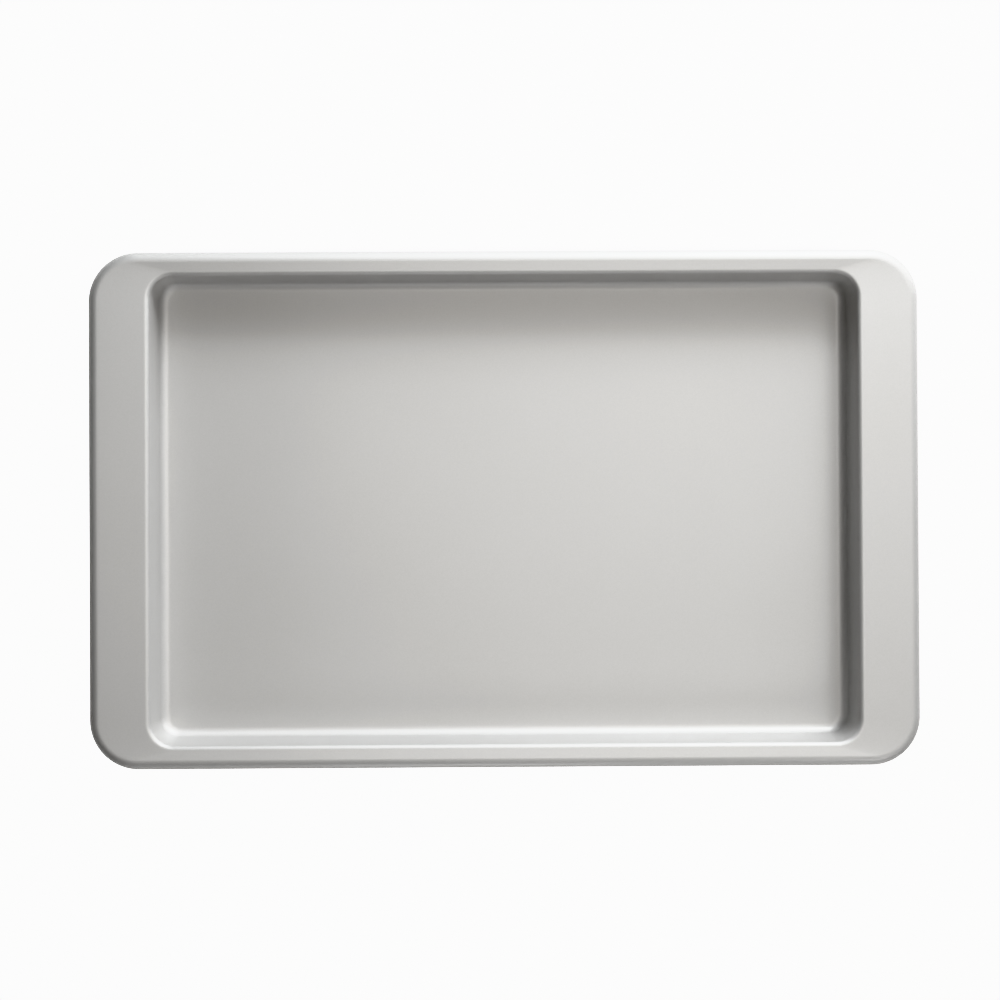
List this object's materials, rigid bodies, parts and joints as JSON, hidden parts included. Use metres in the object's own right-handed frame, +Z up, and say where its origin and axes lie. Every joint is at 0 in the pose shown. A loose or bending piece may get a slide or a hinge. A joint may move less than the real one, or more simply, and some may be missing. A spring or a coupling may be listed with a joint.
{
  "type": "sheet pan",
  "caption": "Shallow rectangular sheet pan pressed from one coated steel sheet, with broad end flanges to hold it by and a rolled edge that hides a stiffening wire.",
  "frame": {"origin": "centre of the underside, on the surface that the pan stands on", "axes": "+Z up out of the pan, +X along the pan's length towards one broad end flange, +Y across it towards the side at the picture's top"},
  "size_m": [0.4414, 0.2746, 0.027],
  "materials": {
    "silver_coat": "satin silver metallic non-stick coat on aluminised steel sheet",
    "galvanised_wire": "dull galvanised steel wire"
  },
  "bodies": {
    "root": {"pan_shell": "silver_coat", "rim_wire": "galvanised_wire"}
  },
  "joints": []
}
